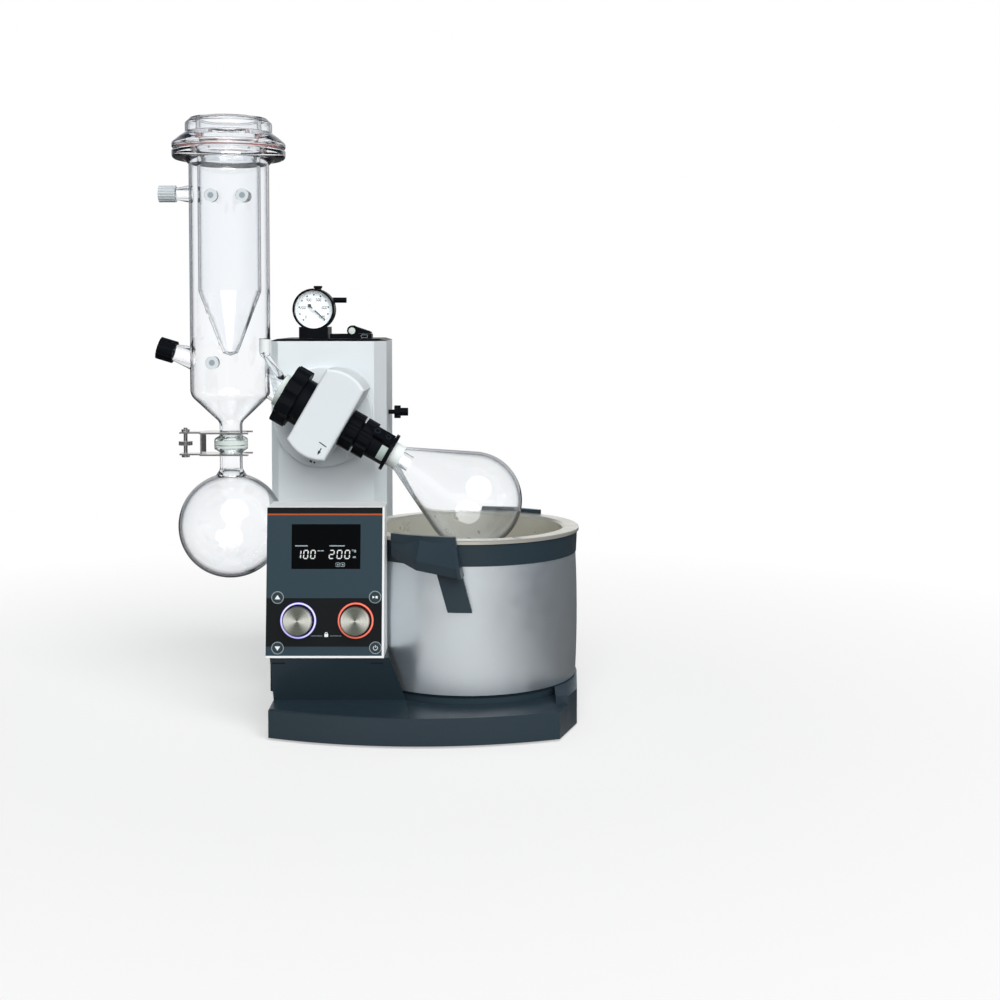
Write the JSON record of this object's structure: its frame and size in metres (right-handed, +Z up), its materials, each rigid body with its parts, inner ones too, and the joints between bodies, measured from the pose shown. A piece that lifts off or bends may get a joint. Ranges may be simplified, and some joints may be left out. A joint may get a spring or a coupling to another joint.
{
  "type": "rotary evaporator",
  "caption": "Bench rotary evaporator with motor lift tower, tilting drive head, cold trap, receiving flask, pear flask and lift-off heating bath.",
  "frame": {"origin": "centre of the overall box, on the bench", "axes": "+Z up, +X to the operator's right, +Y to the back; the rotation axis lies in Y = 0"},
  "size_m": [0.5281, 0.3801, 0.7345],
  "materials": {
    "base_plastic": "moulded dark blue-grey plastic",
    "steel_plate": "folded sheet steel and screws",
    "rubber": "soft rubber",
    "light_cover": "light grey powder coat",
    "housing_white": "white plastic",
    "panel_face": "dark printed panel film",
    "display_glass": "black display window",
    "circuit_board": "green circuit board",
    "led_light": "lit ring",
    "knob_metal": "turned aluminium",
    "button_film": "printed button",
    "black_plastic": "black plastic",
    "white_plastic": "white plastic",
    "aluminium": "extruded aluminium",
    "motor_metal": "painted motor body",
    "steel": "stainless steel",
    "clear_glass": "borosilicate glass",
    "seal_rubber": "fluoroelastomer seal",
    "belt_rubber": "toothed belt rubber",
    "bath_silver": "silver paint",
    "gauge_white": "white dial"
  },
  "bodies": {
    "base": {"base_tray": "base_plastic", "base_pan": "steel_plate", "rubber_feet": "rubber", "power_inlet": "black_plastic", "panel_pedestal": "base_plastic", "panel_housing": "housing_white", "control_panel": "panel_face", "display_window": "display_glass", "display_board": "circuit_board", "led_rings": "led_light", "mast": "aluminium", "lift_motor": "motor_metal"},
    "spindle": {"lift_spindle": "steel"},
    "rotation_knob": {"rotation_knob": "knob_metal"},
    "heat_knob": {"heat_knob": "knob_metal"},
    "lift_up_button": {"lift_up_button": "button_film"},
    "lift_down_button": {"lift_down_button": "button_film"},
    "start_stop_button": {"start_stop_button": "button_film"},
    "power_button": {"power_button": "button_film"},
    "tower": {"tower_front_cover": "light_cover", "tower_rear_cover": "light_cover", "tower_cap": "black_plastic", "push_tube": "steel", "swivel_plate": "light_cover", "vacuum_block": "black_plastic", "gauge_case": "black_plastic", "gauge_dial": "gauge_white", "gauge_glass": "clear_glass"},
    "gauge_pointer": {"gauge_pointer": "black_plastic"},
    "vent_knob": {"vent_knob": "black_plastic"},
    "hose_clamp_lever": {"hose_clamp_lever": "black_plastic"},
    "stop_knob": {"stop_knob": "black_plastic"},
    "head": {"head_shell_front": "light_cover", "head_shell_back": "light_cover", "drive_frame": "aluminium", "drive_motor": "motor_metal", "drive_belt": "belt_rubber", "hub_bearings": "steel", "flange_collar": "black_plastic", "glass_seals": "seal_rubber", "vapour_tube": "clear_glass", "trap_body": "clear_glass", "receiving_flask": "clear_glass", "ball_clamp": "steel"},
    "motor_rotor": {"motor_pulley": "aluminium"},
    "hub": {"drive_hub": "black_plastic", "hub_nut": "black_plastic", "flask_clip": "black_plastic", "evaporating_flask": "clear_glass"},
    "clip_button": {"clip_button": "black_plastic"},
    "flange_nut": {"flange_nut": "black_plastic"},
    "cold_finger": {"cold_finger": "clear_glass"},
    "white_cap": {"white_cap": "white_plastic"},
    "black_cap": {"black_cap": "black_plastic"},
    "clamp_nut": {"clamp_nut": "steel"},
    "bath": {"bath_pot": "steel", "bath_shell": "bath_silver", "bath_collar": "base_plastic", "bath_foot": "base_plastic", "bath_handles": "base_plastic"}
  },
  "joints": [
    {"name": "lift_slide", "type": "slide", "parent": "base", "child": "tower", "axis": [0, 0, 1], "range_m": [-0.06, 0.095]},
    {"name": "spindle_spin", "type": "hinge", "parent": "base", "child": "spindle", "pos_m": [-0.056, 0.126, 0.092], "axis": [0, 0, 1], "range_deg": [-1080, 1710.1]},
    {"name": "head_tilt", "type": "hinge", "parent": "tower", "child": "head", "pos_m": [-0.0618, 0.06, 0.3605], "axis": [0, 1, 0], "range_deg": [0, 8]},
    {"name": "hub_spin", "type": "hinge", "parent": "head", "child": "hub", "pos_m": [-0.0568, 0, 0.36916], "axis": [0.866, 0, -0.5], "continuous": true},
    {"name": "motor_spin", "type": "hinge", "parent": "head", "child": "motor_rotor", "pos_m": [-0.037, 0, 0.40346], "axis": [0.866, 0, -0.5], "continuous": true},
    {"name": "flange_nut_turn", "type": "hinge", "parent": "head", "child": "flange_nut", "pos_m": [-0.0568, 0, 0.36916], "axis": [0.866, 0, -0.5], "continuous": true},
    {"name": "clip_button_press", "type": "slide", "parent": "hub", "child": "clip_button", "axis": [-0.3536, 0.7071, -0.6124], "range_m": [0, 0.001], "stiffness_N_per_m": 500},
    {"name": "rotation_knob_turn", "type": "hinge", "parent": "base", "child": "rotation_knob", "pos_m": [-0.0675, -0.14476, 0.13768], "axis": [0, -0.9925, 0.1219], "continuous": true},
    {"name": "heat_knob_turn", "type": "hinge", "parent": "base", "child": "heat_knob", "pos_m": [-0.0009, -0.14476, 0.13768], "axis": [0, -0.9925, 0.1219], "continuous": true},
    {"name": "lift_up_button_press", "type": "slide", "parent": "base", "child": "lift_up_button", "axis": [0, 0.9925, -0.1219], "range_m": [0, 0.001], "stiffness_N_per_m": 500},
    {"name": "lift_down_button_press", "type": "slide", "parent": "base", "child": "lift_down_button", "axis": [0, 0.9925, -0.1219], "range_m": [0, 0.001], "stiffness_N_per_m": 500},
    {"name": "start_stop_button_press", "type": "slide", "parent": "base", "child": "start_stop_button", "axis": [0, 0.9925, -0.1219], "range_m": [0, 0.001], "stiffness_N_per_m": 500},
    {"name": "power_button_press", "type": "slide", "parent": "base", "child": "power_button", "axis": [0, 0.9925, -0.1219], "range_m": [0, 0.001], "stiffness_N_per_m": 500},
    {"name": "gauge_pointer_turn", "type": "hinge", "parent": "tower", "child": "gauge_pointer", "pos_m": [-0.0787, 0.11, 0.499], "axis": [0, -1, 0], "range_deg": [-3, 267]},
    {"name": "vent_knob_turn", "type": "hinge", "parent": "tower", "child": "vent_knob", "pos_m": [-0.0765, 0.132, 0.5245], "axis": [0, 0, 1], "range_deg": [0, 90]},
    {"name": "hose_clamp_open", "type": "hinge", "parent": "tower", "child": "hose_clamp_lever", "pos_m": [-0.028, 0.11, 0.4711], "axis": [0, -1, 0], "range_deg": [0, 70]},
    {"name": "stop_knob_turn", "type": "hinge", "parent": "tower", "child": "stop_knob", "pos_m": [0.018, 0.12, 0.363], "axis": [1, 0, 0], "continuous": true},
    {"name": "white_cap_turn", "type": "hinge", "parent": "head", "child": "white_cap", "pos_m": [-0.246, 0, 0.642], "axis": [-1, 0, 0], "continuous": true},
    {"name": "black_cap_turn", "type": "hinge", "parent": "head", "child": "black_cap", "pos_m": [-0.249, 0, 0.448], "axis": [-0.9563, 0, 0.2924], "continuous": true},
    {"name": "clamp_nut_turn", "type": "hinge", "parent": "head", "child": "clamp_nut", "pos_m": [-0.227, 0, 0.331], "axis": [0, 0, 1], "continuous": true},
    {"name": "cold_finger_lift", "type": "slide", "parent": "head", "child": "cold_finger", "axis": [0, 0, 1], "range_m": [0, 0.262]},
    {"name": "bath_lift", "type": "slide", "parent": "base", "child": "bath", "axis": [0, 0, 1], "range_m": [0, 0.06]}
  ],
  "couplings": [
    {"joint": "spindle_spin", "follows": "lift_slide", "rad_per_m": 314.16},
    {"joint": "motor_spin", "follows": "hub_spin", "ratio": 3}
  ]
}
